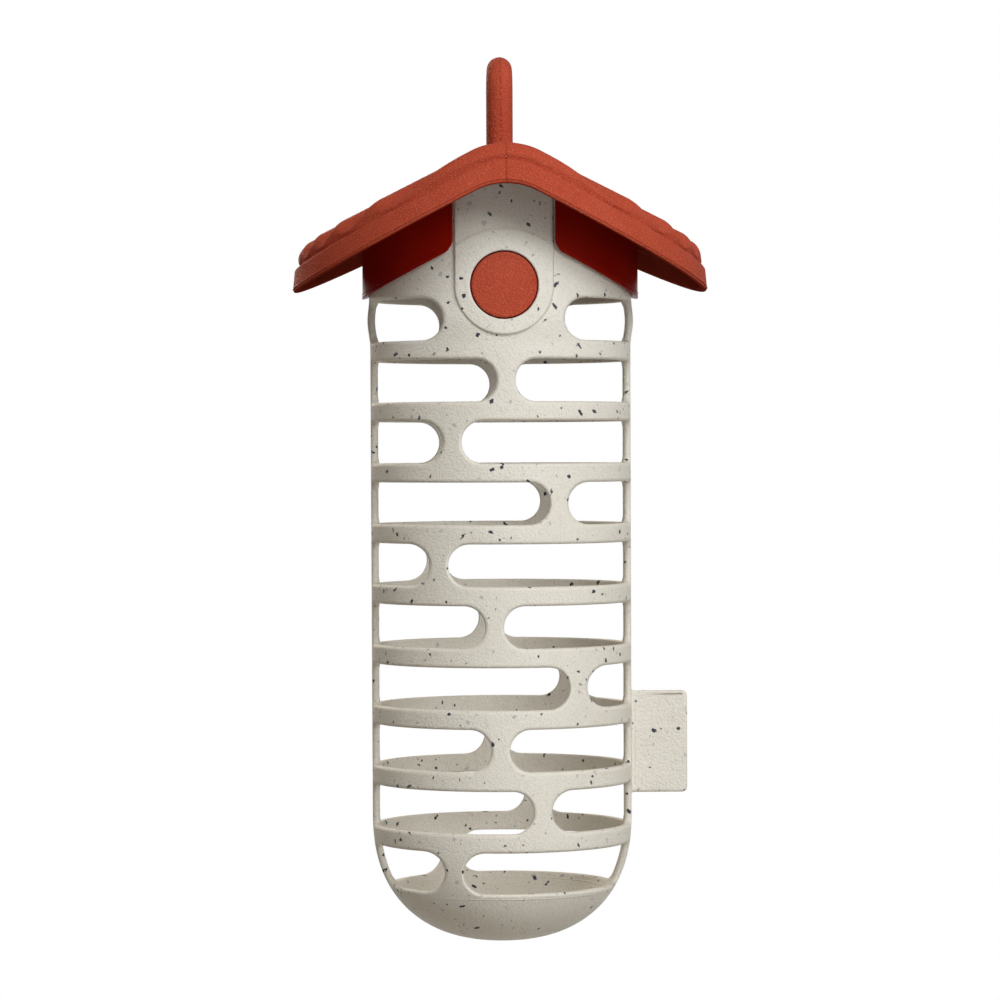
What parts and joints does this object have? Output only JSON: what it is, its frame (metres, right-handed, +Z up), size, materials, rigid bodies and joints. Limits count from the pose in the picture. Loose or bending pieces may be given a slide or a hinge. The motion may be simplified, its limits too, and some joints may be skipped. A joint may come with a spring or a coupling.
{
  "type": "suet feeder",
  "caption": "Hanging suet feeder: a slotted plastic tube with a domed foot, latched by press buttons under a corrugated gable roof with a loop.",
  "frame": {"origin": "inner top of the hanging loop, where a branch hook or hanger carries the feeder", "axes": "+Z up along the tube; X runs down the two slopes of the roof and towards the tag; the front button faces -Y"},
  "size_m": [0.1322, 0.1322, 0.2821],
  "materials": {
    "red_plastic": "brick red, spark-eroded mould texture",
    "speckled_plastic": "warm beige recycled plastic with dark flakes"
  },
  "bodies": {
    "roof": {"roof": "red_plastic", "hanging_loop": "red_plastic"},
    "front_latch": {"front_spring_arm": "red_plastic", "front_button": "red_plastic"},
    "rear_latch": {"rear_spring_arm": "red_plastic", "rear_button": "red_plastic"},
    "cage": {"cage": "speckled_plastic"}
  },
  "joints": [
    {"name": "front_press", "type": "hinge", "parent": "roof", "child": "front_latch", "pos_m": [0, -0.04, -0.033], "axis": [1, 0, 0], "range_deg": [0, 8], "stiffness_Nm_per_rad": 3},
    {"name": "rear_press", "type": "hinge", "parent": "roof", "child": "rear_latch", "pos_m": [0, 0.04, -0.033], "axis": [-1, 0, 0], "range_deg": [0, 8], "stiffness_Nm_per_rad": 3},
    {"name": "cage_release", "type": "slide", "parent": "roof", "child": "cage", "axis": [0, 0, -1], "range_m": [0, 0.06], "deforming": ["front_spring_arm", "front_button", "rear_spring_arm", "rear_button"]}
  ]
}
